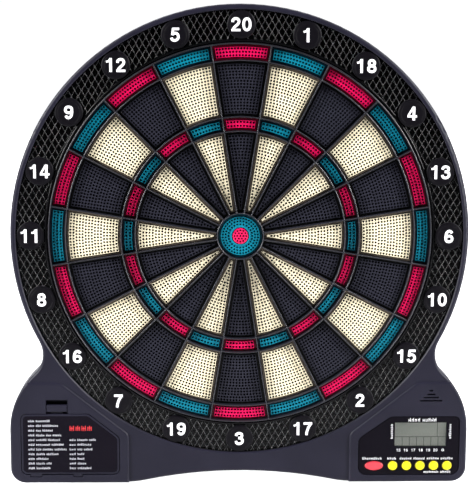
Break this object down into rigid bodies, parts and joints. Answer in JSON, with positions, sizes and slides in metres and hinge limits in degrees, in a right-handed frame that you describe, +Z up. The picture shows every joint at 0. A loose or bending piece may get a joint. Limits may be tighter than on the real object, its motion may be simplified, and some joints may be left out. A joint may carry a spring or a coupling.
{
  "type": "electronic dartboard",
  "caption": "Wall-hung electronic dartboard: round perforated scoring face with a moulded spider and catch ring, display and buttons in one foot, battery door in the other.",
  "frame": {"origin": "back face of the rear cover, where the axis of the bull meets the wall", "axes": "+Z up, +Y into the wall along the bull's axis, +X to the right of a player facing the board; the scoring face looks along -Y"},
  "size_m": [0.42, 0.0286, 0.4365],
  "materials": {
    "housing": "fine-textured dark slate injection moulding",
    "catch_ring": "glossy black moulding, matte number discs",
    "spider": "satin black moulding with worn rib tops",
    "black_plastic": "soft nylon, satin",
    "cream_plastic": "soft nylon, satin",
    "red_plastic": "soft nylon, satin",
    "teal_plastic": "soft nylon, satin",
    "mat_rubber": "soft sheet rubber",
    "film": "printed film with carbon tracks",
    "connector_plastic": "moulded connector and switch bodies",
    "inner_plastic": "moulded inner parts, plain",
    "panel": "black insert, satin gloss with white printing",
    "clear_window": "clear lens",
    "lcd": "grey-green reflective display",
    "circuit_board": "green solder mask on glass laminate",
    "resin": "black epoxy drop",
    "red_button": "soft satin button cap",
    "yellow_button": "soft satin button cap",
    "speaker_metal": "pressed steel basket and magnet cup",
    "wire": "insulated hook-up wire",
    "label": "printed plastic label",
    "cell_sleeve": "plain printed sleeve",
    "steel": "zinc-plated steel"
  },
  "bodies": {
    "root": {"front_housing": "housing", "rear_cover": "housing", "housing_screws": "steel", "catch_ring": "catch_ring", "spider": "spider", "rubber_mat": "mat_rubber", "sensor_matrix": "film", "matrix_connector": "connector_plastic", "backing_plate": "inner_plastic", "plate_screws": "steel", "control_panel": "panel", "lcd_window": "clear_window", "lcd_glass": "lcd", "zebra_strips": "mat_rubber", "main_pcb": "circuit_board", "pcb_screws": "steel", "controller_chip": "resin", "tact_switches": "connector_plastic", "speaker": "speaker_metal", "speaker_leads": "wire", "battery_box": "inner_plastic", "battery_cells": "cell_sleeve", "battery_contacts": "steel", "battery_leads": "wire"},
    "outer_bull": {"outer_bull": "teal_plastic"},
    "inner_bull": {"inner_bull": "red_plastic"},
    "next_button": {"next_button": "red_button"},
    "door": {"battery_door": "housing", "games_label": "label"},
    "latch": {"door_latch": "housing"},
    "game_button": {"game_button": "yellow_button"},
    "player_button": {"player_button": "yellow_button"},
    "option_button": {"option_button": "yellow_button"},
    "bounce_button": {"bounce_button": "yellow_button"},
    "double_button": {"double_button": "yellow_button"},
    "sector_20": {"segments_20": "black_plastic"},
    "sector_01": {"segments_01": "cream_plastic"},
    "sector_18": {"segments_18": "black_plastic"},
    "sector_04": {"segments_04": "cream_plastic"},
    "sector_13": {"segments_13": "black_plastic"},
    "sector_06": {"segments_06": "cream_plastic"},
    "sector_10": {"segments_10": "black_plastic"},
    "sector_15": {"segments_15": "cream_plastic"},
    "sector_02": {"segments_02": "black_plastic"},
    "sector_17": {"segments_17": "cream_plastic"},
    "sector_03": {"segments_03": "black_plastic"},
    "sector_19": {"segments_19": "cream_plastic"},
    "sector_07": {"segments_07": "black_plastic"},
    "sector_16": {"segments_16": "cream_plastic"},
    "sector_08": {"segments_08": "black_plastic"},
    "sector_11": {"segments_11": "cream_plastic"},
    "sector_14": {"segments_14": "black_plastic"},
    "sector_09": {"segments_09": "cream_plastic"},
    "sector_12": {"segments_12": "black_plastic"},
    "sector_05": {"segments_05": "cream_plastic"}
  },
  "joints": [
    {"name": "outer_bull_press", "type": "slide", "parent": "root", "child": "outer_bull", "axis": [0, 1, 0], "range_m": [0, 0.0008], "stiffness_N_per_m": 900},
    {"name": "inner_bull_press", "type": "slide", "parent": "root", "child": "inner_bull", "axis": [0, 1, 0], "range_m": [0, 0.0008], "stiffness_N_per_m": 900},
    {"name": "next_button_press", "type": "slide", "parent": "root", "child": "next_button", "axis": [0, 1, 0], "range_m": [0, 0.0008], "stiffness_N_per_m": 400},
    {"name": "game_button_press", "type": "slide", "parent": "root", "child": "game_button", "axis": [0, 1, 0], "range_m": [0, 0.0008], "stiffness_N_per_m": 400},
    {"name": "player_button_press", "type": "slide", "parent": "root", "child": "player_button", "axis": [0, 1, 0], "range_m": [0, 0.0008], "stiffness_N_per_m": 400},
    {"name": "option_button_press", "type": "slide", "parent": "root", "child": "option_button", "axis": [0, 1, 0], "range_m": [0, 0.0008], "stiffness_N_per_m": 400},
    {"name": "bounce_button_press", "type": "slide", "parent": "root", "child": "bounce_button", "axis": [0, 1, 0], "range_m": [0, 0.0008], "stiffness_N_per_m": 400},
    {"name": "double_button_press", "type": "slide", "parent": "root", "child": "double_button", "axis": [0, 1, 0], "range_m": [0, 0.0008], "stiffness_N_per_m": 400},
    {"name": "sector_20_press", "type": "slide", "parent": "root", "child": "sector_20", "axis": [0, 1, 0], "range_m": [0, 0.0008], "stiffness_N_per_m": 900},
    {"name": "sector_01_press", "type": "slide", "parent": "root", "child": "sector_01", "axis": [0, 1, 0], "range_m": [0, 0.0008], "stiffness_N_per_m": 900},
    {"name": "sector_18_press", "type": "slide", "parent": "root", "child": "sector_18", "axis": [0, 1, 0], "range_m": [0, 0.0008], "stiffness_N_per_m": 900},
    {"name": "sector_04_press", "type": "slide", "parent": "root", "child": "sector_04", "axis": [0, 1, 0], "range_m": [0, 0.0008], "stiffness_N_per_m": 900},
    {"name": "sector_13_press", "type": "slide", "parent": "root", "child": "sector_13", "axis": [0, 1, 0], "range_m": [0, 0.0008], "stiffness_N_per_m": 900},
    {"name": "sector_06_press", "type": "slide", "parent": "root", "child": "sector_06", "axis": [0, 1, 0], "range_m": [0, 0.0008], "stiffness_N_per_m": 900},
    {"name": "sector_10_press", "type": "slide", "parent": "root", "child": "sector_10", "axis": [0, 1, 0], "range_m": [0, 0.0008], "stiffness_N_per_m": 900},
    {"name": "sector_15_press", "type": "slide", "parent": "root", "child": "sector_15", "axis": [0, 1, 0], "range_m": [0, 0.0008], "stiffness_N_per_m": 900},
    {"name": "sector_02_press", "type": "slide", "parent": "root", "child": "sector_02", "axis": [0, 1, 0], "range_m": [0, 0.0008], "stiffness_N_per_m": 900},
    {"name": "sector_17_press", "type": "slide", "parent": "root", "child": "sector_17", "axis": [0, 1, 0], "range_m": [0, 0.0008], "stiffness_N_per_m": 900},
    {"name": "sector_03_press", "type": "slide", "parent": "root", "child": "sector_03", "axis": [0, 1, 0], "range_m": [0, 0.0008], "stiffness_N_per_m": 900},
    {"name": "sector_19_press", "type": "slide", "parent": "root", "child": "sector_19", "axis": [0, 1, 0], "range_m": [0, 0.0008], "stiffness_N_per_m": 900},
    {"name": "sector_07_press", "type": "slide", "parent": "root", "child": "sector_07", "axis": [0, 1, 0], "range_m": [0, 0.0008], "stiffness_N_per_m": 900},
    {"name": "sector_16_press", "type": "slide", "parent": "root", "child": "sector_16", "axis": [0, 1, 0], "range_m": [0, 0.0008], "stiffness_N_per_m": 900},
    {"name": "sector_08_press", "type": "slide", "parent": "root", "child": "sector_08", "axis": [0, 1, 0], "range_m": [0, 0.0008], "stiffness_N_per_m": 900},
    {"name": "sector_11_press", "type": "slide", "parent": "root", "child": "sector_11", "axis": [0, 1, 0], "range_m": [0, 0.0008], "stiffness_N_per_m": 900},
    {"name": "sector_14_press", "type": "slide", "parent": "root", "child": "sector_14", "axis": [0, 1, 0], "range_m": [0, 0.0008], "stiffness_N_per_m": 900},
    {"name": "sector_09_press", "type": "slide", "parent": "root", "child": "sector_09", "axis": [0, 1, 0], "range_m": [0, 0.0008], "stiffness_N_per_m": 900},
    {"name": "sector_12_press", "type": "slide", "parent": "root", "child": "sector_12", "axis": [0, 1, 0], "range_m": [0, 0.0008], "stiffness_N_per_m": 900},
    {"name": "sector_05_press", "type": "slide", "parent": "root", "child": "sector_05", "axis": [0, 1, 0], "range_m": [0, 0.0008], "stiffness_N_per_m": 900},
    {"name": "door_hinge", "type": "hinge", "parent": "root", "child": "door", "pos_m": [-0.155, -0.027, -0.2204], "axis": [1, 0, 0], "range_deg": [0, 50]},
    {"name": "latch_slide", "type": "slide", "parent": "door", "child": "latch", "axis": [0, 0, -1], "range_m": [0, 0.0012], "stiffness_N_per_m": 800}
  ]
}
